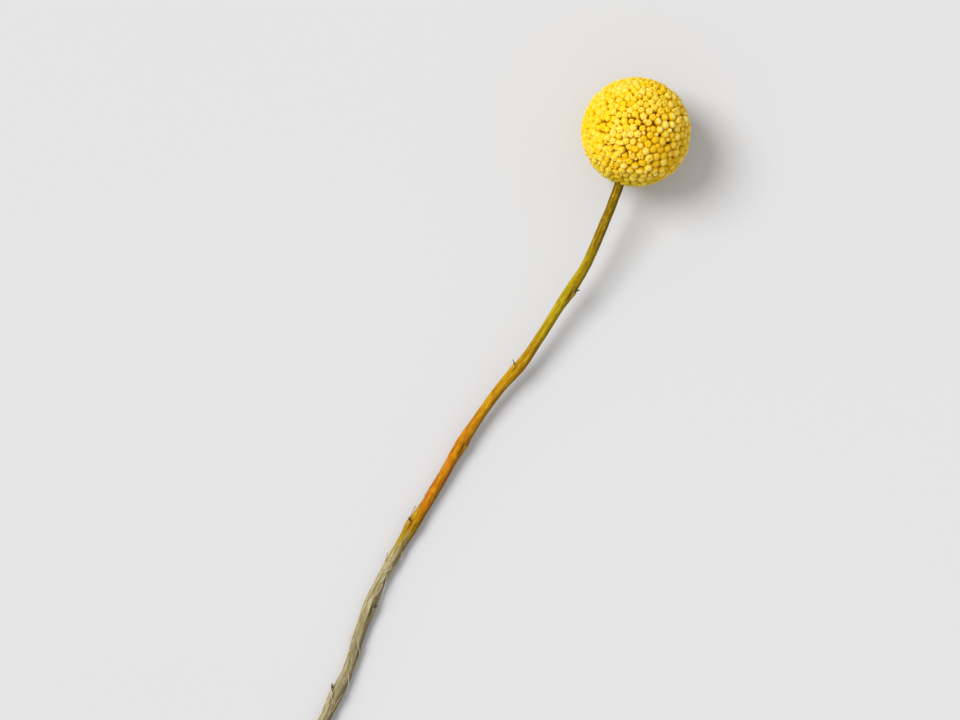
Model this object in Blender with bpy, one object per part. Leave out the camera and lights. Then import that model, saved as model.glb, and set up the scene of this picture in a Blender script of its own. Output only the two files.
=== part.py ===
"""A dried billy button: a globe of close-set florets on a slender, gently wavy cut stem.

It lies on a surface: the globe rests on a small flat spot, and the stem comes down from
the globe's side to the surface and runs along it to its cut end.
"""
import math
import random

import bmesh
import bpy
from mathutils import Matrix, Vector
from mathutils.geometry import interpolate_bezier

MM = 0.001

# Driving dimensions, in metres
HEAD_DIAMETER = 30 * MM
REST_FLAT_DEPTH = 0.35 * MM
FLORET_HEIGHT = 1.3 * MM
FLORET_CROWN_HEIGHT = 0.35 * MM
FLORET_WALL_INSET = 0.42 * MM
SOCKET_DEPTH = 6 * MM
TOUCHING_GAP = 0.3 * MM
STEM_RADIUS_AT_HEAD = 1.35 * MM
STEM_RADIUS_AT_CUT = 1.9 * MM
SCAR_SPACING = 26 * MM
FIRST_SCAR = 31 * MM
SCAR_SWELLING = 0.16
SCAR_HALF_LENGTH = 4 * MM
STUB_LENGTH = 4.2 * MM
STUB_WIDTH = 1.9 * MM
STUB_THICKNESS = 1.1 * MM
STUB_TIP_SHARE = 0.32

# The spread of the withered scale leaves: share of the full length, and degrees
STUB_LENGTH_SPREAD = (0.75, 1.1)
STUB_LIFT = (15, 60)
STUB_LEAN = (28, 42)

# Counts and the seed of the small irregularities
FLORET_COUNT = 460
STEM_POINTS = 80
STEM_BEVEL_RESOLUTION = 2
ROUTE_STEPS = 40
SOCKET_SIDES = 12
STUB_SIDES = 6
SEED = 7

# The middle line of the stem in millimetres, from the globe's base to the cut end
STEM_ROUTE_MM = [
    (2.9, -15.9, 13.2),
    (4.1, -26.0, 11.7),
    (5.0, -38.0, 9.8),
    (3.9, -52.0, 7.7),
    (2.6, -68.0, 5.7),
    (0.0, -80.0, 4.5),
    (-2.0, -96.0, 3.2),
    (-2.6, -112.0, 2.4),
    (-3.7, -128.0, 1.9),
    (-4.0, -144.0, 1.65),
    (-2.4, -157.0, 1.6),
    (-0.5, -168.0, 1.65),
    (0.0, -180.0, 1.8),
    (1.8, -204.0, 2.3),
    (3.2, -232.0, 2.7),
    (2.2, -264.0, 2.9),
    (-1.2, -300.0, 2.7),
    (-3.2, -334.0, 2.3),
    (-2.6, -362.0, 2.0),
    (-1.0, -385.0, 1.8),
]

# Worked out from the values above
HEAD_RADIUS = HEAD_DIAMETER / 2
CORE_RADIUS = HEAD_RADIUS - FLORET_HEIGHT
HEAD_CENTRE = Vector((0, 0, HEAD_RADIUS - REST_FLAT_DEPTH))
STEM_ROUTE = [Vector(point) * MM for point in STEM_ROUTE_MM]
CROWN_DIRECTION = (HEAD_CENTRE - STEM_ROUTE[0]).normalized()
GOLDEN_ANGLE = math.pi * (3 - math.sqrt(5))


def clear_scene():
    for obj in list(bpy.data.objects):
        bpy.data.objects.remove(obj, do_unlink=True)


def make_collection(name):
    collection = bpy.data.collections.new(name)
    bpy.context.scene.collection.children.link(collection)
    return collection


def make_material(name, colour, roughness):
    material = bpy.data.materials.new(name)
    material.use_nodes = True
    shader = material.node_tree.nodes["Principled BSDF"]
    shader.inputs["Base Color"].default_value = (*colour, 1)
    shader.inputs["Roughness"].default_value = roughness
    shader.inputs["Metallic"].default_value = 0
    return material


def object_from_bmesh(name, bm, collection):
    mesh = bpy.data.meshes.new(name)
    bm.to_mesh(mesh)
    bm.free()
    obj = bpy.data.objects.new(name, mesh)
    collection.objects.link(obj)
    return obj


def floret_directions(turn):
    """The florets' directions on the globe, spiralling by the golden angle from its crown at +Z.

    The spiral is turned about its axis until one floret points straight down in the world.
    """
    down = turn.inverted() @ Vector((0, 0, -1))
    lowest = round((1 - down.z) * FLORET_COUNT / 2 - 0.5)
    phase = math.atan2(down.y, down.x) - lowest * GOLDEN_ANGLE
    directions = []
    for index in range(FLORET_COUNT):
        height = 1 - (2 * index + 1) / FLORET_COUNT
        width = math.sqrt(1 - height * height)
        angle = phase + index * GOLDEN_ANGLE
        directions.append(Vector((width * math.cos(angle), width * math.sin(angle), height)))
    return directions


def make_flower_head(collection, cutters):
    """The globe: one cell of its surface for each floret, raised to a low rounded crown."""
    turn = CROWN_DIRECTION.to_track_quat("Z", "Y")
    bm = bmesh.new()
    floret_centres = [bm.verts.new(way * CORE_RADIUS) for way in floret_directions(turn)]
    bmesh.ops.convex_hull(bm, input=floret_centres)
    hull_edges = list(bm.edges)
    bmesh.ops.poke(bm, faces=list(bm.faces))
    bmesh.ops.rotate_edges(bm, edges=hull_edges)
    bmesh.ops.dissolve_verts(bm, verts=floret_centres)
    for corner in bm.verts:
        corner.co = corner.co.normalized() * CORE_RADIUS
    bmesh.ops.recalc_face_normals(bm, faces=list(bm.faces))
    cells = list(bm.faces)
    bmesh.ops.inset_individual(
        bm, faces=cells, thickness=FLORET_WALL_INSET, depth=FLORET_HEIGHT - FLORET_CROWN_HEIGHT)
    bmesh.ops.poke(bm, faces=cells, offset=FLORET_CROWN_HEIGHT)
    place = Matrix.Translation(HEAD_CENTRE) @ turn.to_matrix().to_4x4()
    bmesh.ops.transform(bm, matrix=place, verts=list(bm.verts))
    head = object_from_bmesh("flower_head", bm, collection)

    cut_socket(head, cutters)
    cut_rest_spot(head, cutters)
    head.data.materials.append(make_material("floret yellow", (0.85, 0.58, 0.03), 0.8))
    return head


def add_difference(obj, cutter):
    cutter.hide_render = True
    cutter.display_type = "WIRE"
    modifier = obj.modifiers.new(cutter.name, "BOOLEAN")
    modifier.operation = "DIFFERENCE"
    modifier.object = cutter


def cut_socket(head, cutters):
    """The hollow at the globe's base that the stem's tip sits in."""
    bm = bmesh.new()
    radius = STEM_RADIUS_AT_HEAD + TOUCHING_GAP
    bmesh.ops.create_cone(
        bm, cap_ends=True, segments=SOCKET_SIDES, radius1=radius, radius2=radius,
        depth=2 * SOCKET_DEPTH)
    mouth = HEAD_CENTRE - CROWN_DIRECTION * HEAD_RADIUS
    place = Matrix.Translation(mouth) @ CROWN_DIRECTION.to_track_quat("Z", "Y").to_matrix().to_4x4()
    bmesh.ops.transform(bm, matrix=place, verts=list(bm.verts))
    add_difference(head, object_from_bmesh("socket", bm, cutters))


def cut_rest_spot(head, cutters):
    """The florets under the globe are pressed flat where it lies."""
    bm = bmesh.new()
    bmesh.ops.create_cube(bm, size=HEAD_DIAMETER)
    bmesh.ops.translate(bm, vec=(0, 0, -HEAD_RADIUS), verts=list(bm.verts))
    add_difference(head, object_from_bmesh("rest_spot", bm, cutters))


def smooth_route(knots, points):
    """Evenly spaced points on one smooth curve through the knots, and their distances along it."""
    tangents = []
    for index in range(len(knots)):
        before = knots[max(index - 1, 0)]
        after = knots[min(index + 1, len(knots) - 1)]
        tangents.append((after - before) / 6)
    fine = [knots[0]]
    for index in range(len(knots) - 1):
        start, end = knots[index], knots[index + 1]
        leg = interpolate_bezier(
            start, start + tangents[index], end - tangents[index + 1], end, ROUTE_STEPS)
        fine.extend(leg[1:])
    lengths = [0.0]
    for index in range(1, len(fine)):
        lengths.append(lengths[-1] + (fine[index] - fine[index - 1]).length)
    route = []
    at = 0
    for step in range(points):
        wanted = lengths[-1] * step / (points - 1)
        while at < len(fine) - 2 and lengths[at + 1] < wanted:
            at += 1
        share = (wanted - lengths[at]) / (lengths[at + 1] - lengths[at])
        route.append((fine[at].lerp(fine[at + 1], share), wanted))
    return route


def scar_positions(length):
    """How far from the globe each leaf scar is."""
    count = int((length - FIRST_SCAR) / SCAR_SPACING) + 1
    return [FIRST_SCAR + index * SCAR_SPACING for index in range(count)]


def stem_radius(along, length):
    """The stem thickens slowly towards its cut end and swells a little at each leaf scar."""
    radius = STEM_RADIUS_AT_HEAD + (STEM_RADIUS_AT_CUT - STEM_RADIUS_AT_HEAD) * along / length
    swelling = sum(
        math.exp(-((along - scar) / SCAR_HALF_LENGTH) ** 2) for scar in scar_positions(length))
    return radius * (1 + SCAR_SWELLING * swelling)


def mesh_from_curve(obj, name, collection):
    evaluated = obj.evaluated_get(bpy.context.evaluated_depsgraph_get())
    mesh = bpy.data.meshes.new_from_object(evaluated)
    bm = bmesh.new()
    bm.from_mesh(mesh)
    bmesh.ops.remove_doubles(bm, verts=list(bm.verts), dist=0.001 * MM)
    bm.to_mesh(mesh)
    bm.free()
    mesh.name = name
    result = bpy.data.objects.new(name, mesh)
    result.matrix_world = obj.matrix_world.copy()
    collection.objects.link(result)
    bpy.data.objects.remove(obj, do_unlink=True)
    return result


def make_bare_stem(route, length, collection):
    """A tapering tube along the route, with its tip in the globe's socket."""
    tip = route[0][0] + CROWN_DIRECTION * (SOCKET_DEPTH - 2 * TOUCHING_GAP)
    curve = bpy.data.curves.new("stem", "CURVE")
    curve.dimensions = "3D"
    curve.bevel_depth = 1
    curve.bevel_resolution = STEM_BEVEL_RESOLUTION
    curve.use_fill_caps = True
    spline = curve.splines.new("POLY")
    spline.points.add(len(route))
    spline.points[0].co = (*tip, 1)
    spline.points[0].radius = STEM_RADIUS_AT_HEAD
    for point, (place, along) in zip(spline.points[1:], route):
        radius = stem_radius(along, length)
        height = max(place.z, radius)
        point.co = (place.x, place.y, height, 1)
        point.radius = radius
    tube = bpy.data.objects.new("stem tube", curve)
    collection.objects.link(tube)
    bpy.context.view_layer.update()
    return mesh_from_curve(tube, "stem", collection)


def make_stub(index, place, towards_head, radius, side, random_source, collection):
    """A withered scale leaf: a short flat spike that leans from its scar towards the globe."""
    lift = math.radians(random_source.uniform(*STUB_LIFT))
    lean = math.radians(random_source.uniform(*STUB_LEAN))
    across = Vector((0, 0, 1)).cross(towards_head).normalized()
    outward = (across * side * math.cos(lift) + Vector((0, 0, 1)) * math.sin(lift)).normalized()
    way = (towards_head * math.cos(lean) + outward * math.sin(lean)).normalized()
    flat_side = outward.cross(way).normalized()
    length = radius + STUB_LENGTH * random_source.uniform(*STUB_LENGTH_SPREAD)
    bm = bmesh.new()
    bmesh.ops.create_cone(
        bm, cap_ends=True, segments=STUB_SIDES, radius1=0.5, radius2=0.5 * STUB_TIP_SHARE,
        depth=1)
    bmesh.ops.translate(bm, vec=(0, 0, 0.5), verts=list(bm.verts))
    bmesh.ops.scale(bm, vec=(STUB_WIDTH, STUB_THICKNESS, length), verts=list(bm.verts))
    axes = Matrix((flat_side, way.cross(flat_side), way)).transposed().to_4x4()
    bmesh.ops.transform(bm, matrix=Matrix.Translation(place) @ axes, verts=list(bm.verts))
    return object_from_bmesh(f"stub {index}", bm, collection)


def add_stubs(stem, route, length):
    """The stubs stand at every leaf scar, on alternate sides, and are one body with the stem."""
    stubs = make_collection("stubs")
    random_source = random.Random(SEED)
    step = length / (len(route) - 1)
    for index, scar in enumerate(scar_positions(length)):
        nearest = round(scar / step)
        place = route[nearest][0]
        towards_head = (route[nearest - 1][0] - place).normalized()
        side = 1 if index % 2 else -1
        radius = stem_radius(scar, length)
        make_stub(index, place, towards_head, radius, side, random_source, stubs)
    modifier = stem.modifiers.new("stubs", "BOOLEAN")
    modifier.operation = "UNION"
    modifier.operand_type = "COLLECTION"
    modifier.collection = stubs
    bpy.context.view_layer.objects.active = stem
    bpy.ops.object.modifier_apply(modifier=modifier.name)
    for stub in list(stubs.objects):
        bpy.data.objects.remove(stub, do_unlink=True)
    bpy.data.collections.remove(stubs)


def make_stem(collection):
    route = smooth_route(STEM_ROUTE, STEM_POINTS)
    length = route[-1][1]
    stem = make_bare_stem(route, length, collection)
    add_stubs(stem, route, length)
    stem.data.shade_smooth()
    stem.data.set_sharp_from_angle(angle=math.radians(40))
    stem.data.materials.append(make_material("dried stem", (0.42, 0.31, 0.06), 0.75))
    return stem


def main():
    clear_scene()
    parts = make_collection("billy_buttons_stem")
    cutters = make_collection("cutters")
    make_flower_head(parts, cutters)
    make_stem(parts)


main()
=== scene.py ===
"""Looks of a dried billy button that lies on a pale surface, seen from above."""
import math
import random

import bmesh
import bpy
from mathutils import Matrix, Vector, kdtree, noise
from mathutils.geometry import interpolate_bezier


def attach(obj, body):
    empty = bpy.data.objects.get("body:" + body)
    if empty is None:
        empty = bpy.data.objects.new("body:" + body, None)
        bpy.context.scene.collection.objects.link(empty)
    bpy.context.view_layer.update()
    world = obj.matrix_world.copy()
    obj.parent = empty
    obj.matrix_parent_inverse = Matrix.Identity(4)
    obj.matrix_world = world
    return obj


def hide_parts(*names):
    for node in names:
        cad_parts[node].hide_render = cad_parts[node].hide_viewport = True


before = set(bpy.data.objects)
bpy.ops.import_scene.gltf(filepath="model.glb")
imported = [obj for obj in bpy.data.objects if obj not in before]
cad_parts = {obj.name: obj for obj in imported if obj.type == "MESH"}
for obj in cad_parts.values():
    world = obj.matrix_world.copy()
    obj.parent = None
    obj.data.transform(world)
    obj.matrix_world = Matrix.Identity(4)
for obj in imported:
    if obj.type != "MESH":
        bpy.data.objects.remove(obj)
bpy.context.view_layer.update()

# Stem: one slender woody scape that tapers towards the globe and swells at each leaf scar.
# It is dyed yellow and orange for the first 117 mm and keeps its own grey-tan bark below.
# Its fine ribs and flats come from drying.
MM = 0.001
STEM_ROUTE_MM = [
    (2.9, -15.9, 13.2),
    (4.1, -26.0, 11.7),
    (5.0, -38.0, 9.8),
    (3.9, -52.0, 7.7),
    (2.6, -68.0, 5.7),
    (0.0, -80.0, 4.5),
    (-2.0, -96.0, 3.2),
    (-2.6, -112.0, 2.4),
    (-3.7, -128.0, 1.9),
    (-4.0, -144.0, 1.65),
    (-2.4, -157.0, 1.6),
    (-0.5, -168.0, 1.65),
    (0.0, -180.0, 1.8),
    (1.8, -204.0, 2.3),
    (3.2, -232.0, 2.7),
    (2.2, -264.0, 2.9),
    (-1.2, -300.0, 2.7),
    (-3.2, -334.0, 2.3),
    (-2.6, -362.0, 2.0),
    (-1.0, -385.0, 1.8),
]
ROUTE_STEPS = 40
STEM_RADIUS_AT_HEAD = 1.35 * MM
STEM_RADIUS_AT_CUT = 1.9 * MM
HIDDEN_TIP = 5 * MM
FIRST_SCAR = 31 * MM
SCAR_SPACING = 26 * MM
SCAR_SWELLING = 0.16
SCAR_HALF_LENGTH = 4 * MM
STEM_SIDES = 36
STEM_RING_SPACING = 0.5 * MM
STEM_LOWEST = 0.02 * MM
SEAM_GAP = 0.001 * MM
DYE_END = 117 * MM

# Each scar's ledge fades fast towards the globe and slowly towards the cut end
SCAR_REACH = 9 * MM
SCAR_LEDGE = 0.3 * MM
LEDGE_HALF_ANGLE = 0.8
LEDGE_FADE_GLOBEWARD = 0.35 * MM
LEDGE_FADE_CUTWARD = 2.2 * MM

# A slit in the bark runs past each scar and sways a little
SLIT_DEPTH = 0.26 * MM
SLIT_PAST_SCAR = 1 * MM
SLIT_HALF_LENGTH = 2.6 * MM
SLIT_TURN = 0.45
SLIT_HALF_ANGLE = 0.26
SLIT_SWAY = 0.12

# Ribs round the stem: how many, how far they wander, and their height as a share of the radius
RIBS = [(7, 5, 0.035), (12, -4, 0.02)]
RIB_WANDER_LENGTH = 18 * MM
DENT_SHARE = 0.06
DENT_LENGTH = 11 * MM
GRAIN_SHARE = 0.06
GRAIN_LENGTH = 2.6 * MM
SHRINKING_SHARE = 0.04


def srgb(red, green, blue):
    """A colour as it is read off a picture, 0 to 255, in the shader's linear light."""
    def linear(value):
        value = value / 255
        return value / 12.92 if value <= 0.04045 else ((value + 0.055) / 1.055) ** 2.4
    return (linear(red), linear(green), linear(blue), 1)


def route_samples():
    """Closely spaced points on a smooth curve through the route, with their distances along it."""
    knots = [Vector(point) * MM for point in STEM_ROUTE_MM]
    handles = []
    for index in range(len(knots)):
        before = knots[max(index - 1, 0)]
        after = knots[min(index + 1, len(knots) - 1)]
        # A sixth of the way between its neighbours gives a point handles that bend smoothly
        handles.append((after - before) / 6)
    points = [knots[0]]
    for index in range(len(knots) - 1):
        start, end = knots[index], knots[index + 1]
        leg = interpolate_bezier(
            start, start + handles[index], end - handles[index + 1], end, ROUTE_STEPS)
        points.extend(leg[1:])
    distances = [0.0]
    for index in range(1, len(points)):
        distances.append(distances[-1] + (points[index] - points[index - 1]).length)
    return points, distances


route_points, route_distances = route_samples()
STEM_LENGTH = route_distances[-1]
HEAD_RADIUS = 15 * MM
REST_FLAT_DEPTH = 0.35 * MM
HEAD_CENTRE = Vector((0, 0, HEAD_RADIUS - REST_FLAT_DEPTH))
crown_direction = (HEAD_CENTRE - route_points[0]).normalized()
scars = [FIRST_SCAR + i * SCAR_SPACING
         for i in range(int((STEM_LENGTH - FIRST_SCAR) / SCAR_SPACING) + 1)]


def stem_radius(along):
    share = max(along, 0) / STEM_LENGTH
    radius = STEM_RADIUS_AT_HEAD + (STEM_RADIUS_AT_CUT - STEM_RADIUS_AT_HEAD) * share
    swelling = sum(math.exp(-((along - scar) / SCAR_HALF_LENGTH) ** 2) for scar in scars)
    return radius * (1 + SCAR_SWELLING * swelling)


def stem_middle(along):
    """The stem's middle at a distance from the globe's base; less than 0 is inside the globe."""
    if along <= 0:
        return route_points[0] + crown_direction * -along
    low, high = 0, len(route_points) - 2
    while low < high:
        half = (low + high + 1) // 2
        if route_distances[half] <= along:
            low = half
        else:
            high = half - 1
    share = (along - route_distances[low]) / (route_distances[low + 1] - route_distances[low])
    middle = route_points[low].lerp(route_points[low + 1], min(share, 1))
    middle.z = max(middle.z, stem_radius(along))
    return middle


def stem_axes(along):
    """Across, up and onward directions of the stem; onward runs towards the cut end."""
    step = 1 * MM
    onward = (stem_middle(min(along + step, STEM_LENGTH))
              - stem_middle(min(along, STEM_LENGTH - step) - step)).normalized()
    across = onward.cross(Vector((0, 0, 1))).normalized()
    return across, across.cross(onward), onward


def scar_marks(along, angle):
    """The scars' raised ledge and sunken slit at a point on the bark, from 0 to 1 each."""
    ledge = 0.0
    slit = 0.0
    for index, scar in enumerate(scars):
        beyond = along - scar
        if abs(beyond) < SCAR_REACH:
            side = 0 if index % 2 else math.pi
            turn = math.atan2(math.sin(angle - side), math.cos(angle - side))
            fade = LEDGE_FADE_CUTWARD if beyond > 0 else LEDGE_FADE_GLOBEWARD
            ledge += math.exp(-abs(beyond) / fade) * math.exp(-(turn / LEDGE_HALF_ANGLE) ** 2)
            beside = angle - (math.pi / 2 + (SLIT_TURN if side else -SLIT_TURN))
            past = (beyond - SLIT_PAST_SCAR) / SLIT_HALF_LENGTH
            aside = (beside - SLIT_SWAY * math.sin(beyond / MM)) / SLIT_HALF_ANGLE
            slit += math.exp(-past ** 2) * math.exp(-aside ** 2)
    return ledge, slit


def bark_relief(along, angle):
    """How far the bark stands off the plain taper: ribs, dents, and the marks of the scars."""
    around = Vector((math.cos(angle), math.sin(angle), 0))
    wander = noise.noise(Vector((0, 3, along / RIB_WANDER_LENGTH)))
    ribs = sum(share * math.sin(count * angle + sway * wander) for count, sway, share in RIBS)
    dents = DENT_SHARE * noise.noise(around * 0.9 + Vector((0, 0, along / DENT_LENGTH)))
    grain = GRAIN_SHARE * noise.noise(around * 4.2 + Vector((9, 0, along / GRAIN_LENGTH)))
    ledge, slit = scar_marks(along, angle)
    return (stem_radius(along) * (ribs + dents + grain - SHRINKING_SHARE)
            + SCAR_LEDGE * ledge - SLIT_DEPTH * slit)


def bark_point(along, angle, lift=0.0):
    """A point on the bark, or lifted off it, by its distance along and its angle round the stem."""
    across, up, onward = stem_axes(along)
    radius = stem_radius(along) + bark_relief(along, angle) + lift
    point = stem_middle(along) + (across * math.cos(angle) + up * math.sin(angle)) * radius
    point.z = max(point.z, STEM_LOWEST)
    return point


def finish_piece(name, bm):
    """The bmesh as a smooth object of its own at the origin, riding on the part's one body."""
    mesh = bpy.data.meshes.new(name)
    bm.to_mesh(mesh)
    bm.free()
    mesh.shade_smooth()
    piece = bpy.data.objects.new(name, mesh)
    bpy.context.scene.collection.objects.link(piece)
    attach(piece, "root")
    return piece


def bend_to_stem(bm, start, end):
    """Bends a unit grid round the stem: X goes round it, Y runs along it, and the seam closes."""
    grain = bm.verts.layers.float_vector.new("grain")
    ledge = bm.verts.layers.float.new("ledge")
    slit = bm.verts.layers.float.new("slit")
    for vert in bm.verts:
        angle = -math.pi / 2 + (vert.co.x + 0.5) * 2 * math.pi
        along = start + (vert.co.y + 0.5) * (end - start)
        around = Vector((math.cos(angle), math.sin(angle), 0)) * stem_radius(along)
        vert[grain] = around + Vector((0, 0, along))
        vert[ledge], vert[slit] = scar_marks(along, angle)
        vert.co = bark_point(along, angle)
    bmesh.ops.remove_doubles(bm, verts=list(bm.verts), dist=SEAM_GAP)


class Nodes:
    """A short way to fill a node tree: each call adds one node, sets its values and links it."""

    def __init__(self, tree):
        self.tree = tree

    def add(self, kind, values=None, **settings):
        node = self.tree.nodes.new("ShaderNode" + kind)
        for key, value in settings.items():
            setattr(node, key, value)
        for key, value in (values or {}).items():
            self.set(node.inputs[key], value)
        return node

    def set(self, socket, value):
        if isinstance(value, bpy.types.NodeSocket):
            self.tree.links.new(value, socket)
        else:
            socket.default_value = value

    def group(self, tree, place):
        node = self.tree.nodes.new("ShaderNodeGroup")
        node.node_tree = tree
        self.set(node.inputs["Place"], place)
        return node.outputs

    def maths(self, operation, first, second):
        return self.add("Math", {0: first, 1: second}, operation=operation).outputs[0]

    def span(self, value, low, high, to_low=0.0, to_high=1.0):
        node = self.add("MapRange", {"Value": value, "From Min": low, "From Max": high,
                                     "To Min": to_low, "To Max": to_high})
        return node.outputs["Result"]

    def mix(self, factor, first, second):
        node = self.add("Mix", data_type="RGBA")
        self.set(node.inputs[0], factor)
        self.set(node.inputs[6], first)
        self.set(node.inputs[7], second)
        return node.outputs[2]

    def ramp(self, value, stops):
        node = self.add("ValToRGB", {"Fac": value})
        elements = node.color_ramp.elements
        elements[0].position, elements[0].color = stops[0]
        elements[1].position, elements[1].color = stops[-1]
        for position, colour in stops[1:-1]:
            elements.new(position).color = colour
        return node.outputs["Color"]

    def noise(self, vector, scale, detail, rough):
        node = self.add("TexNoise", {"Vector": vector, "Scale": scale, "Detail": detail,
                                     "Roughness": rough})
        return node.outputs["Fac"]

    def stretched(self, vector, scale):
        return self.add("Mapping", {"Vector": vector, "Scale": scale}).outputs["Vector"]

    def attribute(self, name, output):
        return self.add("Attribute", attribute_name=name).outputs[output]


class Material(Nodes):
    """A new material's node tree, with its shader."""

    def __init__(self, name):
        self.material = bpy.data.materials.new(name)
        self.material.use_nodes = True
        self.shader = self.material.node_tree.nodes["Principled BSDF"]
        super().__init__(self.material.node_tree)

    def bump(self, height, strength, distance):
        node = self.add("Bump", {"Height": height, "Strength": strength, "Distance": distance})
        self.set(self.shader.inputs["Normal"], node.outputs["Normal"])

    def finish(self, colour, roughness):
        self.set(self.shader.inputs["Base Color"], colour)
        self.set(self.shader.inputs["Roughness"], roughness)
        return self.material


def shared_group(name, results):
    """A node group that takes a place and gives values, with its nodes, its place and its ends."""
    group = bpy.data.node_groups.new(name, "ShaderNodeTree")
    group.interface.new_socket("Place", in_out="INPUT", socket_type="NodeSocketVector")
    for result in results:
        group.interface.new_socket(result, in_out="OUTPUT", socket_type="NodeSocketFloat")
    place = group.nodes.new("NodeGroupInput").outputs["Place"]
    ends = group.nodes.new("NodeGroupOutput").inputs
    return group, Nodes(group), place, ends


def shared_pattern(name, noises):
    """A node group with one noise for each entry: its stretch, scale, detail and roughness."""
    group, n, place, ends = shared_group(name, noises)
    for result, (stretch, *settings) in noises.items():
        n.set(ends[result], n.noise(n.stretched(place, (1, 1, stretch)), *settings))
    return group


dry_streaks = shared_pattern("dry_streaks", {
    "Fine": (0.06, 2600, 4, 0.6), "Long": (0.035, 900, 3, 0.6),
    "Hairs": (0.04, 7000, 3, 0.6), "Specks": (0.5, 2300, 2, 0.5),
    "Flecks": (0.35, 1300, 2, 0.55)})


# The dye's colours, by their share of the dyed stretch from the globe on
DYE_STOPS = [
    (0.0, srgb(120, 96, 0)), (0.12, srgb(138, 114, 2)), (0.2, srgb(172, 150, 8)),
    (0.3, srgb(184, 162, 16)), (0.42, srgb(174, 134, 2)), (0.6, srgb(194, 134, 2)),
    (0.74, srgb(198, 116, 2)), (0.84, srgb(200, 112, 2)), (0.91, srgb(170, 120, 2)),
    (1.0, srgb(154, 132, 8))]
PATCH_SHIFT = 7 * MM
RAGGED_EDGE = 12 * MM
EDGE_BLUR = 1 * MM
# How far across the stem the painted shade on its side away from the key light deepens
PAINTED_SHADE_DEPTH = 1.2 * MM


def stem_material():
    """Dye over bark: yellow-green, gold and orange in turn, then a ragged edge and grey-tan."""
    n = Material("dyed_and_bare_stem")
    grain = n.attribute("grain", "Vector")
    parts = n.add("SeparateXYZ", {"Vector": grain}).outputs
    along = parts["Z"]
    streaks = n.group(dry_streaks, grain)
    patches = n.noise(n.stretched(grain, (1, 1, 0.35)), 330, 3, 0.55)

    shift = n.span(patches, 0.3, 0.7, -PATCH_SHIFT, PATCH_SHIFT)
    dye_place = n.maths("DIVIDE", n.maths("ADD", along, shift), DYE_END)
    dye = n.ramp(dye_place, DYE_STOPS)
    dye = n.mix(n.span(patches, 0.5, 0.64, 0, 0.4), dye, srgb(136, 92, 0))
    dye = n.mix(n.span(streaks["Long"], 0.48, 0.68, 0, 0.5), dye, srgb(112, 66, 0))
    dye = n.mix(n.span(streaks["Flecks"], 0.54, 0.72, 0, 0.35), dye, srgb(232, 192, 40))
    dye = n.mix(n.span(streaks["Fine"], 0.52, 0.72, 0, 0.5), dye, srgb(232, 196, 40))
    dye = n.mix(n.span(streaks["Specks"], 0.64, 0.72, 0, 0.75), dye, srgb(88, 30, 4))

    bark_place = n.maths("DIVIDE", n.maths("ADD", along, shift), STEM_LENGTH)
    bark = n.ramp(bark_place, [
        (0.28, srgb(166, 150, 92)), (0.4, srgb(164, 150, 108)), (0.52, srgb(152, 142, 112)),
        (0.7, srgb(140, 130, 104)), (0.85, srgb(150, 136, 104)), (1.0, srgb(126, 110, 82))])
    bark = n.mix(n.span(patches, 0.5, 0.64, 0, 0.4), bark, srgb(118, 104, 74))
    bark = n.mix(n.span(streaks["Long"], 0.42, 0.66, 0, 0.65), bark, srgb(104, 90, 62))
    bark = n.mix(n.span(streaks["Flecks"], 0.54, 0.7, 0, 0.35), bark, srgb(214, 204, 174))
    bark = n.mix(n.span(streaks["Fine"], 0.48, 0.68, 0, 0.55), bark, srgb(208, 196, 162))
    bark = n.mix(n.span(streaks["Specks"], 0.64, 0.72, 0, 0.6), bark, srgb(52, 40, 28))

    ragged = n.maths("ADD", along, n.span(streaks["Long"], 0.3, 0.7, -RAGGED_EDGE, RAGGED_EDGE))
    bare = n.span(ragged, DYE_END - EDGE_BLUR, DYE_END + EDGE_BLUR)
    colour = n.mix(bare, dye, bark)
    # Painted shade: the stem's side away from the key light is darkened, to rust on the dye and
    # grey-brown on the bark
    shaded_side = n.maths("ADD", parts["X"],
                        n.span(streaks["Long"], 0.3, 0.7, -0.4 * MM, 0.4 * MM))
    colour = n.mix(n.span(shaded_side, 0, -PAINTED_SHADE_DEPTH, 0, 0.58), colour,
                   n.mix(bare, srgb(98, 66, 0), srgb(96, 84, 56)))
    colour = n.mix(n.span(n.attribute("ledge", "Fac"), 0.25, 0.9, 0, 0.5), colour,
                   n.mix(bare, srgb(226, 198, 84), srgb(204, 192, 152)))
    split = n.maths("MULTIPLY", n.attribute("slit", "Fac"), n.span(streaks["Fine"], 0.3, 0.6))
    colour = n.mix(n.span(split, 0.25, 0.6, 0, 0.85), colour,
                   n.mix(bare, srgb(92, 48, 4), srgb(84, 62, 40)))
    colour = n.mix(n.span(streaks["Hairs"], 0.5, 0.75, 0, 0.35), colour, srgb(76, 50, 8))
    height = n.maths("ADD", n.maths("ADD", streaks["Long"], streaks["Fine"]), streaks["Hairs"])
    n.bump(height, 0.9, 0.14 * MM)
    n.set(n.shader.inputs["Specular IOR Level"], 0.06)
    return n.finish(colour, n.span(bare, 0, 1, 0.55, 0.85))


stem_mesh = bmesh.new()
bmesh.ops.create_grid(stem_mesh, x_segments=STEM_SIDES, size=0.5,
                      y_segments=round((STEM_LENGTH + HIDDEN_TIP) / STEM_RING_SPACING))
bend_to_stem(stem_mesh, -HIDDEN_TIP, STEM_LENGTH)
bmesh.ops.holes_fill(stem_mesh, edges=[e for e in stem_mesh.edges if e.is_boundary], sides=0)
bmesh.ops.recalc_face_normals(stem_mesh, faces=list(stem_mesh.faces))
stem = finish_piece("stem_bark", stem_mesh)
stem.data.materials.append(stem_material())
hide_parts("stem")

# Cut end: a straight cut across the dry stem shows its woody ring and the pale pith inside.
# It is a shallow dished disc on the end of the bark, darker at the rim than in the middle.
PITH_RINGS = 6
PITH_BREADTH = 0.97
PITH_DISH = 0.18 * MM
PITH_ROUGHNESS = 0.05 * MM
PITH_PAST_BARK = 0.22 * MM


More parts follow.
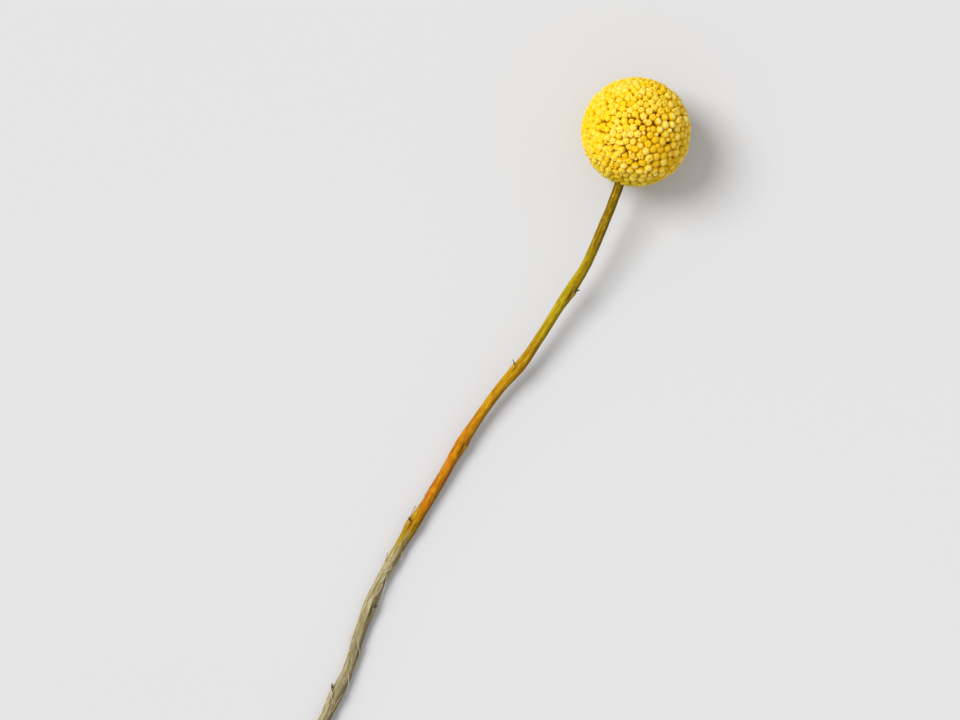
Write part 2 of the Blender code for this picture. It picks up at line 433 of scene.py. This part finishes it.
def pith_material():
    n = Material("pith_and_wood_ring")
    place = n.attribute("grain", "Vector")
    out = n.add("VectorMath", {0: n.stretched(place, (1, 1, 0))}, operation="LENGTH")
    share = n.maths("DIVIDE", out.outputs["Value"], STEM_RADIUS_AT_CUT)
    pores = n.noise(place, 5200, 3, 0.6)
    colour = n.ramp(n.maths("ADD", share, n.span(pores, 0.3, 0.7, -0.08, 0.08)), [
        (0.0, srgb(226, 214, 176)), (0.45, srgb(212, 194, 148)), (0.55, srgb(150, 122, 78)),
        (0.8, srgb(166, 138, 92)), (0.95, srgb(92, 70, 42))])
    n.bump(pores, 0.7, 0.1 * MM)
    return n.finish(colour, 0.85)


pith_mesh = bmesh.new()
bmesh.ops.create_circle(pith_mesh, cap_ends=True, segments=STEM_SIDES, radius=1)
disc = list(pith_mesh.faces)
for _ in range(PITH_RINGS):
    bmesh.ops.inset_individual(pith_mesh, faces=disc, thickness=1 / (PITH_RINGS + 1))
bmesh.ops.poke(pith_mesh, faces=disc)
pith_grain = pith_mesh.verts.layers.float_vector.new("grain")
end_across, end_up, end_onward = stem_axes(STEM_LENGTH)
for vert in pith_mesh.verts:
    out = min(vert.co.length, 1)
    angle = math.atan2(vert.co.y, vert.co.x)
    rim = stem_radius(STEM_LENGTH) + bark_relief(STEM_LENGTH, angle)
    dish = PITH_DISH * (out - 1) + PITH_ROUGHNESS * noise.noise(vert.co * 6)
    vert[pith_grain] = vert.co * STEM_RADIUS_AT_CUT + Vector((0, 0, STEM_LENGTH))
    outward = end_across * math.cos(angle) + end_up * math.sin(angle)
    vert.co = (stem_middle(STEM_LENGTH) + end_onward * (PITH_PAST_BARK + dish)
               + outward * rim * out * PITH_BREADTH)
    vert.co.z = max(vert.co.z, STEM_LOWEST)
pith = finish_piece("pith", pith_mesh)
pith.data.materials.append(pith_material())
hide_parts("stem")

# Withered scale leaves: each leaf scar still holds the dried foot of its leaf, a dark curled
# spike up to a few millimetres long, on alternate sides of the stem.
SEED = 7
LEAF_LENGTH = 2.5 * MM
LEAF_WIDTH = 1.5 * MM
LEAF_THICKNESS = 0.16 * MM
LEAF_LENGTH_SPREAD = (0.45, 1.0)
LEAF_LIFT_DEGREES = (15, 60)
LEAF_LEAN_DEGREES = (28, 42)
LEAF_FOOT_SHARE = 0.9
LEAF_NARROWING = 0.68
LEAF_TEAR = 0.3
LEAF_CURL = 0.45
LEAF_CURL_CHANGE = 2.4
LEAF_CUP = 0.45 * MM
LEAF_LOWEST = 0.05 * MM


def scale_leaf_material():
    n = Material("withered_leaf")
    veins = n.group(dry_streaks, n.attribute("grain", "Vector"))
    age = n.maths("ADD", n.attribute("leaf_share", "Fac"),
                  n.span(veins["Fine"], 0.3, 0.7, -0.2, 0.2))
    colour = n.ramp(age, [(0.0, srgb(146, 100, 44)), (0.35, srgb(100, 62, 34)),
                          (0.7, srgb(60, 40, 26)), (1.0, srgb(32, 24, 18))])
    n.bump(veins["Fine"], 0.6, 0.12 * MM)
    return n.finish(colour, 0.8)


def add_scale_leaf(bm, share_layer, grain_layer, index, scar, source):
    """One blade: a grid that is cupped round the stem, narrows to a torn tip and curls outward."""
    across, up, onward = stem_axes(scar)
    lift = math.radians(source.uniform(*LEAF_LIFT_DEGREES))
    lean = math.radians(source.uniform(*LEAF_LEAN_DEGREES))
    side = 1 if index % 2 else -1
    length = LEAF_LENGTH * source.uniform(*LEAF_LENGTH_SPREAD)
    outward = (across * side * math.cos(lift) + up * math.sin(lift)).normalized()
    broad = outward.cross(onward).normalized()
    foot = stem_middle(scar) + outward * stem_radius(scar) * LEAF_FOOT_SHARE
    made = bmesh.ops.create_grid(bm, x_segments=6, y_segments=10, size=0.5)["verts"]
    for vert in made:
        share = vert.co.y + 0.5
        half = vert.co.x * 2
        tear = 1 + LEAF_TEAR * noise.noise(vert.co * 5 + across * 40)
        width = LEAF_WIDTH / 2 * (1 - LEAF_NARROWING * share ** 1.8) * tear
        rise = lean + LEAF_CURL * share * math.sin(index * LEAF_CURL_CHANGE)
        way = (-onward * math.cos(rise) + outward * math.sin(rise)).normalized()
        cup = outward * (-LEAF_CUP * half * half * (1 - share))
        vert[share_layer] = share
        vert[grain_layer] = Vector((half * width, index * LEAF_LENGTH, length * share))
        vert.co = foot + way * length * share + broad * half * width + cup
        vert.co.z = max(vert.co.z, LEAF_LOWEST)


leaf_mesh = bmesh.new()
leaf_share = leaf_mesh.verts.layers.float.new("leaf_share")
leaf_grain = leaf_mesh.verts.layers.float_vector.new("grain")
leaf_source = random.Random(SEED)
for leaf_index, leaf_scar in enumerate(scars):
    add_scale_leaf(leaf_mesh, leaf_share, leaf_grain, leaf_index, leaf_scar, leaf_source)
bmesh.ops.solidify(leaf_mesh, geom=list(leaf_mesh.faces), thickness=LEAF_THICKNESS)
bmesh.ops.recalc_face_normals(leaf_mesh, faces=list(leaf_mesh.faces))
scale_leaves = finish_piece("scale_leaves", leaf_mesh)
scale_leaves.data.materials.append(scale_leaf_material())
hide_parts("stem")

# Skin flakes: narrow strips of the thin bark have split along the grain and lifted at one end.
# Each is a papery strip that lies on the stem and curls off it towards its tip.
FLAKE_COUNT = 46
FLAKE_LENGTH = (3 * MM, 9 * MM)
FLAKE_WIDTH = (0.3 * MM, 0.75 * MM)
FLAKE_THICKNESS = 0.06 * MM
FLAKE_LIFT = (0.1 * MM, 0.6 * MM)
FLAKE_GAP = 0.03 * MM
FLAKE_ROLL = 0.12 * MM
FLAKE_TEAR = 0.5
FLAKE_NARROWING = 0.75
FLAKE_PAST_SCAR = 2 * MM
FLAKE_TURN_FROM_TOP = 0.75
FLAKE_TURNS = (-0.2, math.pi + 0.2)
FLAKE_TO_CUT = 14 * MM
DYED_FLAKE_EVERY = 4


def flake_material():
    """The stem's own colours: the dye where the stem is dyed and pale straw where it is bare."""
    n = Material("lifted_skin")
    grain = n.attribute("grain", "Vector")
    streaks = n.group(dry_streaks, grain)
    along = n.add("SeparateXYZ", {"Vector": grain}).outputs["Z"]
    dye = n.ramp(n.maths("DIVIDE", along, DYE_END), DYE_STOPS)
    colour = n.mix(n.span(along, DYE_END - 3 * MM, DYE_END + 3 * MM), dye, srgb(184, 170, 130))
    colour = n.mix(n.span(streaks["Fine"], 0.4, 0.7, 0, 0.6), colour, srgb(122, 92, 36))
    n.bump(streaks["Fine"], 0.6, 0.08 * MM)
    n.set(n.shader.inputs["Specular IOR Level"], 0.1)
    return n.finish(colour, 0.8)


flake_mesh = bmesh.new()
flake_grain = flake_mesh.verts.layers.float_vector.new("grain")
flake_source = random.Random(SEED + 2)
flake_places = []
for index, scar in enumerate(scars[:-1]):
    aside = FLAKE_TURN_FROM_TOP if index % 2 else -FLAKE_TURN_FROM_TOP
    flake_places.append((scar + FLAKE_PAST_SCAR, math.pi / 2 + aside))
for flake in range(FLAKE_COUNT):
    first = DYE_END if flake % DYED_FLAKE_EVERY else FIRST_SCAR
    flake_places.append((flake_source.uniform(first, STEM_LENGTH - FLAKE_TO_CUT),
                         flake_source.uniform(*FLAKE_TURNS)))
for flake, (along, angle) in enumerate(flake_places):
    length = flake_source.uniform(*FLAKE_LENGTH)
    width = flake_source.uniform(*FLAKE_WIDTH)
    lift = flake_source.uniform(*FLAKE_LIFT)
    way = flake_source.choice((-1, 1))
    strip = bmesh.ops.create_grid(flake_mesh, x_segments=2, y_segments=8, size=0.5)["verts"]
    for vert in strip:
        share = vert.co.y + 0.5
        half = vert.co.x * 2
        tear = 1 + FLAKE_TEAR * noise.noise(Vector((flake, share * 4, half)))
        place = along + way * (share - 0.5) * length
        turn = half * width / 2 * (1 - FLAKE_NARROWING * share ** 2) * tear / stem_radius(along)
        stand = FLAKE_GAP + lift * share ** 3 + FLAKE_ROLL * half * half * share
        vert[flake_grain] = Vector((half * width, flake * MM, place))
        vert.co = bark_point(place, angle + turn, stand)
bmesh.ops.solidify(flake_mesh, geom=list(flake_mesh.faces), thickness=FLAKE_THICKNESS)
bmesh.ops.recalc_face_normals(flake_mesh, faces=list(flake_mesh.faces))
skin_flakes = finish_piece("skin_flakes", flake_mesh)
skin_flakes.data.materials.append(flake_material())
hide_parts("stem")

# Loose fibres: fine pale threads of skin and cobweb that have lifted off the dry bark.
# Each is a thin curled strand with one end still on the stem.
FIBRE_COUNT = 40
FIBRE_RADIUS = 0.075 * MM
FIBRE_POINTS = 8
FIBRE_START = DYE_END - 6 * MM
FIBRE_END = STEM_LENGTH - 8 * MM
FIBRE_LIMIT = STEM_LENGTH - 1 * MM
FIBRE_TURNS = (0.1, math.pi - 0.1)
FIBRE_REACH_MM = (3, 9)
FIBRE_CURL = (-1.6, 1.6)
FIBRE_HEIGHT_MM = (0.2, 2.4)
FIBRE_ARCH = (0.5, 0.9)
FIBRE_ROOT_DEPTH = 0.02 * MM
FIBRE_NARROWING = 0.6


def fibre_material():
    n = Material("pale_fibre")
    place = n.add("TexCoord").outputs["Object"]
    tone = n.noise(place, 700, 2, 0.5)
    return n.finish(n.mix(tone, srgb(240, 232, 206), srgb(190, 172, 130)), 0.7)


fibre_curve = bpy.data.curves.new("loose_fibres", "CURVE")
fibre_curve.dimensions = "3D"
fibre_curve.bevel_depth = FIBRE_RADIUS
fibre_curve.bevel_resolution = 1
fibre_curve.use_fill_caps = True
fibre_source = random.Random(SEED + 1)
for _ in range(FIBRE_COUNT):
    along = FIBRE_START + (FIBRE_END - FIBRE_START) * fibre_source.random() ** 1.8
    angle = fibre_source.uniform(*FIBRE_TURNS)
    reach = fibre_source.uniform(*FIBRE_REACH_MM) * MM
    curl = fibre_source.uniform(*FIBRE_CURL)
    height = fibre_source.uniform(*FIBRE_HEIGHT_MM) * MM
    spline = fibre_curve.splines.new("NURBS")
    spline.points.add(FIBRE_POINTS - 1)
    for step, point in enumerate(spline.points):
        share = step / (FIBRE_POINTS - 1)
        arch = math.sin(share * math.pi * fibre_source.uniform(*FIBRE_ARCH))
        point_along = min(along + reach * share, FIBRE_LIMIT)
        place = bark_point(point_along, angle + curl * share, height * arch - FIBRE_ROOT_DEPTH)
        point.co = (*place, 1)
        point.radius = 1 - FIBRE_NARROWING * share
    spline.use_endpoint_u = True
    spline.order_u = 4
    spline.resolution_u = 3
loose_fibres = bpy.data.objects.new("loose_fibres", fibre_curve)
bpy.context.scene.collection.objects.link(loose_fibres)
loose_fibres.data.materials.append(fibre_material())
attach(loose_fibres, "root")
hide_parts("stem")

# Receptacle: the small ochre ball at the heart of the globe that every floret is rooted in.
# Only its pitted skin shows, deep in the gaps between the florets.
RECEPTACLE_RADIUS = 12.8 * MM
RECEPTACLE_ROUGHNESS = 0.02
PITS_PER_METRE = 900

dry_mottle = shared_pattern("dry_mottle", {
    "Blotches": (1, 900, 3, 0.6), "Grains": (1, 4200, 3, 0.6)})


def receptacle_material():
    n = Material("ochre_skin")
    mottle = n.group(dry_mottle, n.add("TexCoord").outputs["Object"])
    n.bump(mottle["Grains"], 1.0, 0.3 * MM)
    return n.finish(n.mix(mottle["Blotches"], srgb(198, 144, 0), srgb(224, 174, 6)), 0.9)


receptacle_mesh = bmesh.new()
bmesh.ops.create_icosphere(receptacle_mesh, subdivisions=5, radius=RECEPTACLE_RADIUS)
for vert in receptacle_mesh.verts:
    vert.co *= 1 + RECEPTACLE_ROUGHNESS * noise.noise(vert.co * PITS_PER_METRE)
bmesh.ops.translate(receptacle_mesh, vec=HEAD_CENTRE, verts=list(receptacle_mesh.verts))
receptacle = finish_piece("receptacle", receptacle_mesh)
receptacle.data.materials.append(receptacle_material())
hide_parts("flower_head")

# Florets: several hundred club-shaped florets stand shoulder to shoulder all over the globe.
# From one side to the other they are closed buds, buds that part in five, and open florets
# with five short lobes round a stubby column. All are dry, matt and golden; the paler tip is a
# painted highlight, and the darker foot in the gaps is its own ochre deepened by painted shade.
FLORET_SEED = 12
PLACES_TRIED = 5000
CLOSED_SPACING = 0.158
OPEN_SPACING = 0.124
FIRST_ROOM = 0.8
NEIGHBOURS = 6
EASED_ROOM = 1.05
EASING_STEP = 0.35
EASING_ROUNDS = 10
LATE_ROOM = 0.62
LATE_SIZE = 0.6
FLORET_LOBES = 5
FLORET_SIDES = 2 * FLORET_LOBES
FLORET_HALF_WIDTH = 1.12 * MM
FLORET_BREADTH = (0.84, 1.1)
FLORET_HEIGHT = (0.86, 1.07)
FLORET_LEAN = 0.16
GLOBE_UNEVENNESS = 0.014
PRESSED_HEIGHT = 0.03 * MM
PARTING_FROM = -0.12
OPEN_FROM = 0.22
STAGE_MIXING = 0.26

# Rings from the foot up: half-width as a share, height in millimetres, depth of the five lobes
CLOSED_RINGS = [(0.8, -0.1, 0), (1.26, 0.9, 0), (1.1, 1.5, 0), (0.82, 1.92, 0.05),
                (0.38, 2.2, 0.2), (0.0, 2.12, 0)]
PARTING_RINGS = [(0.8, -0.1, 0), (1.24, 0.95, 0), (1.06, 1.5, 0.08), (0.9, 1.94, 0.16),
                 (0.54, 2.16, 0.28), (0.0, 1.74, 0)]
OPEN_RINGS = [(0.8, -0.1, 0), (1.22, 1.0, 0), (1.13, 1.7, 0.19), (0.83, 2.1, 0.16),
              (0.42, 1.94, 0), (0.28, 2.24, 0), (0.0, 2.36, 0)]

IMAGE_RIGHT = Vector((0.8834, 0.4687, 0))
IMAGE_UP = Vector((-0.4687, 0.8834, 0))
OPENED_SIDE = IMAGE_RIGHT * -0.75 + IMAGE_UP * 0.45
OPENED_SHIFT = 0.1
OPENED_PATCHES = 0.3
SPREAD_FROM = 0.4
SPREAD_SPAN = 0.7
GOLDEN_ANGLE = math.pi * (3 - math.sqrt(5))


def floret_form(rings):
    """One floret from its rings: a ten-sided tube, in which every other corner makes a lobe."""
    bm = bmesh.new()
    bmesh.ops.create_circle(bm, segments=FLORET_SIDES, radius=1)
    edges = list(bm.edges)
    corners = list(bm.verts)
    for index, (width, height, lobes) in enumerate(rings):
        if index:
            made = bmesh.ops.extrude_edge_only(bm, edges=edges)["geom"]
            corners = [item for item in made if isinstance(item, bmesh.types.BMVert)]
            edges = [item for item in made if isinstance(item, bmesh.types.BMEdge)]
        for corner in corners:
            angle = math.atan2(corner.co.y, corner.co.x)
            reach = width * FLORET_HALF_WIDTH * (1 + lobes * math.sin(FLORET_LOBES * angle))
            if width:
                corner.co = (reach * math.cos(angle), reach * math.sin(angle), height * MM)
    bmesh.ops.pointmerge(bm, verts=corners, merge_co=(0, 0, rings[-1][1] * MM))
    bmesh.ops.recalc_face_normals(bm, faces=list(bm.faces))
    mesh = bpy.data.meshes.new("floret form")
    bm.to_mesh(mesh)
    bm.free()
    return mesh


def openness(way):
    """From below 0, shut, to above 0, open: the florets opened first on the photographed left."""
    return way.dot(OPENED_SIDE) + OPENED_SHIFT + OPENED_PATCHES * noise.noise(way * 2.6)


def spacing_at(way):
    """How far apart the florets stand there, in radians: closer where they have opened."""
    share = min(max((openness(way) + SPREAD_FROM) / SPREAD_SPAN, 0), 1)
    return CLOSED_SPACING + (OPEN_SPACING - CLOSED_SPACING) * share


def spiral_directions(count):
    """Directions all round a globe, in a golden spiral."""
    ways = []
    for index in range(count):
        height = 1 - (2 * index + 1) / count
        width = math.sqrt(1 - height * height)
        angle = index * GOLDEN_ANGLE
        ways.append(Vector((width * math.cos(angle), width * math.sin(angle), height)))
    return ways


def direction_tree(ways):
    tree = kdtree.KDTree(len(ways))
    for index, way in enumerate(ways):
        tree.insert(way, index)
    tree.balance()
    return tree


def floret_directions():
    """Directions all round the globe, each with room to itself, then eased evenly apart."""
    tried = spiral_directions(PLACES_TRIED)
    random.Random(FLORET_SEED).shuffle(tried)
    ways = []
    for way in tried:
        room = (FIRST_ROOM * spacing_at(way)) ** 2
        if all((way - other).length_squared > room for other in ways):
            ways.append(way)
    for _ in range(EASING_ROUNDS):
        tree = direction_tree(ways)
        eased = []
        for way in ways:
            push = Vector((0, 0, 0))
            for near, _, apart in tree.find_n(way, NEIGHBOURS + 1)[1:]:
                push += (way - near) * (max(spacing_at(way) * EASED_ROOM - apart, 0) / apart)
            eased.append((way + push * EASING_STEP).normalized())
        ways = eased
    return ways


def late_directions(ways):
    """The widest gaps left between the florets, where small late buds have squeezed in."""
    tree = direction_tree(ways)
    late = []
    for way in spiral_directions(PLACES_TRIED):
        room = LATE_ROOM * spacing_at(way)
        if tree.find(way)[2] > room and all((way - other).length > room for other in late):
            late.append(way)
    return late


def add_copy(bm, form, place):
    """Adds a copy of a form to the bmesh, moved to its place, and gives its count of corners."""
    copy = form.copy()
    copy.transform(place)
    bm.from_mesh(copy)
    bpy.data.meshes.remove(copy)
    return len(form.vertices)


def place_florets(name, form, places):
    """Copies of one form, each turned, tilted and sized a little differently."""
    source = random.Random(FLORET_SEED)
    bm = bmesh.new()
    tones = []
    for way, share in places:
        tone = source.random()
        spin = source.uniform(0, 2 * math.pi)
        room = share * spacing_at(way) / CLOSED_SPACING
        broad = source.uniform(*FLORET_BREADTH) * room
        deep = source.uniform(*FLORET_BREADTH) * room
        tall = source.uniform(*FLORET_HEIGHT)
        lean = Vector((source.uniform(-1, 1), source.uniform(-1, 1), source.uniform(-1, 1)))
        stand = (way + lean * FLORET_LEAN).normalized()
        globe = RECEPTACLE_RADIUS * (1 + GLOBE_UNEVENNESS * noise.noise(way * 2.4))
        place = (Matrix.Translation(HEAD_CENTRE + way * globe)
                 @ stand.to_track_quat("Z", "Y").to_matrix().to_4x4()
                 @ Matrix.Rotation(spin, 4, "Z") @ Matrix.Diagonal((broad, deep, tall, 1)))
        tones.extend([tone] * add_copy(bm, form, place))
    tone_layer = bm.verts.layers.float.new("floret_tone")
    for vert, tone in zip(bm.verts, tones):
        vert[tone_layer] = tone
        vert.co.z = max(vert.co.z, PRESSED_HEIGHT)
    return finish_piece(name, bm)


def place_in_globe():
    """A node group that tells how far a point is from the globe's middle and towards its crown."""
    group, n, place, ends = shared_group("globe_place", ("Radius", "Crownward"))
    offset = n.add("VectorMath", {0: place, 1: HEAD_CENTRE}, operation="SUBTRACT")
    from_middle = offset.outputs["Vector"]
    radius = n.add("VectorMath", {0: from_middle}, operation="LENGTH")
    crownward = n.add("VectorMath", {0: from_middle, 1: crown_direction}, operation="DOT_PRODUCT")
    n.set(ends["Radius"], radius.outputs["Value"])
    n.set(ends["Crownward"], crownward.outputs["Value"])
    return group


globe_place = place_in_globe()


def floret_material(name, foot, body, tip, warm):
    """Ochre gap, partly painted shade; golden flank; paler tip, a painted highlight; greener near
    the stem.
    """
    n = Material(name)
    place = n.add("TexCoord").outputs["Object"]
    globe = n.group(globe_place, place)
    mottle = n.group(dry_mottle, place)
    rise = n.maths("ADD", n.span(globe["Radius"], RECEPTACLE_RADIUS, HEAD_RADIUS),
                   n.span(mottle["Grains"], 0.3, 0.7, -0.08, 0.08))
    # From foot to tip: the gaps darken to ochre deepened by painted shade, and the pale tips are a
    # painted highlight
    colour = n.ramp(rise, [(0.5, foot), (0.72, body), (0.86, body), (1.0, tip)])
    tone = n.attribute("floret_tone", "Fac")
    colour = n.mix(n.span(tone, 0.5, 1.0, 0, 0.4), colour, warm)
    colour = n.mix(n.span(tone, 0.0, 0.35, 0.35, 0), colour, tip)
    drift = n.noise(place, 60, 2, 0.5)
    colour = n.mix(n.span(drift, 0.42, 0.62, 0, 0.4), colour, warm)
    colour = n.mix(n.span(mottle["Blotches"], 0.55, 0.8, 0, 0.3), colour, foot)
    colour = n.mix(n.span(globe["Crownward"], -9 * MM, -HEAD_RADIUS, 0, 0.45), colour,
                   srgb(170, 160, 20))
    n.bump(n.maths("ADD", mottle["Grains"], mottle["Blotches"]), 0.5, 0.08 * MM)
    n.set(n.shader.inputs["Specular IOR Level"], 0.12)
    n.set(n.shader.inputs["Subsurface Weight"], 0.12)
    n.set(n.shader.inputs["Subsurface Radius"], (0.8, 0.5, 0.1))
    n.set(n.shader.inputs["Subsurface Scale"], 0.6 * MM)
    return n.finish(colour, 0.72)


floret_ways = floret_directions()
stage_source = random.Random(FLORET_SEED + 2)
stages = {"closed": [], "parting": [], "open": []}
for way in floret_ways:
    opened = openness(way) + stage_source.uniform(-STAGE_MIXING, STAGE_MIXING)
    if opened < PARTING_FROM:
        stages["closed"].append((way, 1))
    elif opened < OPEN_FROM:
        stages["parting"].append((way, 1))
    else:
        stages["open"].append((way, 1))
stages["closed"].extend((way, LATE_SIZE) for way in late_directions(floret_ways))

# The stage golds are partly painted light: brighter with lighter feet on the open side facing the
# key, darker on the closed side in shade
closed_florets = place_florets("closed_florets", floret_form(CLOSED_RINGS), stages["closed"])
closed_florets.data.materials.append(floret_material(
    "closed_floret_gold", srgb(196, 142, 0), srgb(234, 190, 10), srgb(250, 228, 118),
    srgb(222, 170, 0)))
parting_florets = place_florets("parting_florets", floret_form(PARTING_RINGS), stages["parting"])
parting_florets.data.materials.append(floret_material(
    "parting_floret_gold", srgb(214, 160, 0), srgb(244, 200, 12), srgb(252, 224, 96),
    srgb(242, 192, 2)))
open_florets = place_florets("open_florets", floret_form(OPEN_RINGS), stages["open"])
open_florets.data.materials.append(floret_material(
    "open_floret_gold", srgb(228, 174, 0), srgb(250, 208, 18), srgb(252, 222, 100),
    srgb(250, 204, 8)))
for florets in (closed_florets, parting_florets, open_florets):
    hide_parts("flower_head")

# Chaff: thin pointed scales of the receptacle that stand between the florets, a little lower
# than they are, golden with browner tips. They close the gaps and roughen the surface.
CHAFF_PER_FLORET = 2
CHAFF_HEIGHT = (1.35 * MM, 1.95 * MM)
CHAFF_WIDTH = 0.5 * MM
CHAFF_THICKNESS = 0.16 * MM
CHAFF_BULGE = 0.7
CHAFF_BEND = 0.12 * MM
CHAFF_ASIDE = (0.48, 0.58)


def chaff_form():
    """A unit scale, thin and pointed, that leans a little outward at its tip."""
    bm = bmesh.new()
    bmesh.ops.create_cone(bm, cap_ends=True, segments=4, radius1=0.5, radius2=0.04, depth=1)
    upright = [e for e in bm.edges if abs(e.verts[0].co.z - e.verts[1].co.z) > 0.5]
    bmesh.ops.subdivide_edges(bm, edges=upright, cuts=2)
    for vert in bm.verts:
        share = vert.co.z + 0.5
        vert.co = (vert.co.x * CHAFF_WIDTH * (1 + CHAFF_BULGE * math.sin(math.pi * share)),
                   vert.co.y * CHAFF_THICKNESS + CHAFF_BEND * share * share, share)
    mesh = bpy.data.meshes.new("chaff form")
    bm.to_mesh(mesh)
    bm.free()
    return mesh


def chaff_material():
    n = Material("chaff_gold")
    place = n.add("TexCoord").outputs["Object"]
    globe = n.group(globe_place, place)
    mottle = n.group(dry_mottle, place)
    rise = n.maths("ADD", n.span(globe["Radius"], RECEPTACLE_RADIUS, HEAD_RADIUS - 0.3 * MM),
                   n.span(mottle["Blotches"], 0.3, 0.7, -0.15, 0.15))
    colour = n.ramp(rise, [(0.2, srgb(190, 140, 0)), (0.7, srgb(236, 192, 16)),
                           (0.92, srgb(240, 204, 50)), (1.0, srgb(176, 112, 6))])
    n.bump(mottle["Grains"], 0.4, 0.06 * MM)
    n.set(n.shader.inputs["Specular IOR Level"], 0.12)
    return n.finish(colour, 0.75)


chaff_mesh = bmesh.new()
chaff_source = random.Random(FLORET_SEED + 1)
scale_form = chaff_form()
for way in floret_ways:
    across = way.orthogonal().normalized()
    for _ in range(CHAFF_PER_FLORET):
        beside = Matrix.Rotation(chaff_source.uniform(0, 2 * math.pi), 3, way) @ across
        aside = spacing_at(way) * chaff_source.uniform(*CHAFF_ASIDE)
        stand = (way + beside * aside).normalized()
        add_copy(chaff_mesh, scale_form,
                 Matrix.Translation(HEAD_CENTRE + stand * RECEPTACLE_RADIUS)
                 @ stand.to_track_quat("Z", "Y").to_matrix().to_4x4()
                 @ Matrix.Rotation(chaff_source.uniform(0, 2 * math.pi), 4, "Z")
                 @ Matrix.Diagonal((1, 1, chaff_source.uniform(*CHAFF_HEIGHT), 1)))
for vert in chaff_mesh.verts:
    vert.co.z = max(vert.co.z, PRESSED_HEIGHT)
chaff = finish_piece("chaff", chaff_mesh)
chaff.data.materials.append(chaff_material())
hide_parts("flower_head")

# Surface: the pale table that the part lies on and that the camera looks down at.
# It isn't part of the object.
FLOOR_SIZE = 40.0


def floor_material():
    n = Material("pale_table")
    cloud = n.noise(n.add("TexCoord").outputs["Object"], 3, 2, 0.55)
    return n.finish(n.mix(cloud, srgb(205, 205, 206), srgb(209, 209, 210)), 0.9)


floor_mesh = bmesh.new()
bmesh.ops.create_grid(floor_mesh, x_segments=4, y_segments=4, size=FLOOR_SIZE / 2)
floor_data = bpy.data.meshes.new("floor")
floor_mesh.to_mesh(floor_data)
floor_mesh.free()
floor = bpy.data.objects.new("floor", floor_data)
floor.data.materials.append(floor_material())
bpy.context.scene.collection.objects.link(floor)

# Light: a broad soft key from the photograph's left and a little above, and a pale room whose
# even light fills the shadows, as in a studio picture on a white ground.
KEY_STRENGTH = 2.5
KEY_SOFTNESS = math.radians(30)
KEY_FROM = IMAGE_RIGHT * -0.7 + IMAGE_UP * 0.35 + Vector((0, 0, 1))
ROOM_STRENGTH = 0.62

key_data = bpy.data.lights.new("key", "SUN")
key_data.energy = KEY_STRENGTH
key_data.angle = KEY_SOFTNESS
key = bpy.data.objects.new("key", key_data)
key.rotation_euler = KEY_FROM.to_track_quat("Z", "Y").to_euler()
bpy.context.scene.collection.objects.link(key)

room = bpy.data.worlds.new("pale room")
room.use_nodes = True
room.node_tree.nodes["Background"].inputs["Color"].default_value = (1, 1, 1, 1)
room.node_tree.nodes["Background"].inputs["Strength"].default_value = ROOM_STRENGTH
bpy.context.scene.world = room
bpy.context.scene.view_settings.view_transform = "Standard"

# Camera: straight above, turned so that the stem slants as it does in the photograph, and
# closer, so that the stretch of stem that the photograph shows fills the picture's height.
PHOTO_SCALE = 0.395 * MM
CLOSER = 1.45
PICTURE_CENTRE_PX = (480, 360)
HEAD_PLACE_PX = (636, 132)
CAMERA_DISTANCE = 0.75
SENSOR_WIDTH = 36
PICTURE_WIDTH_PX = 960

picture_scale = PHOTO_SCALE / CLOSER
camera_data = bpy.data.cameras.new("camera")
camera_data.sensor_width = SENSOR_WIDTH
camera_data.lens = SENSOR_WIDTH * CAMERA_DISTANCE / (PICTURE_WIDTH_PX * picture_scale)
camera = bpy.data.objects.new("camera", camera_data)
camera.location = (HEAD_CENTRE + Vector((0, 0, CAMERA_DISTANCE))
                   - IMAGE_RIGHT * (HEAD_PLACE_PX[0] - PICTURE_CENTRE_PX[0]) * picture_scale
                   - IMAGE_UP * (PICTURE_CENTRE_PX[1] - HEAD_PLACE_PX[1]) * picture_scale)
camera.rotation_euler = (0, 0, math.atan2(IMAGE_RIGHT.y, IMAGE_RIGHT.x))
bpy.context.scene.collection.objects.link(camera)
bpy.context.scene.camera = camera
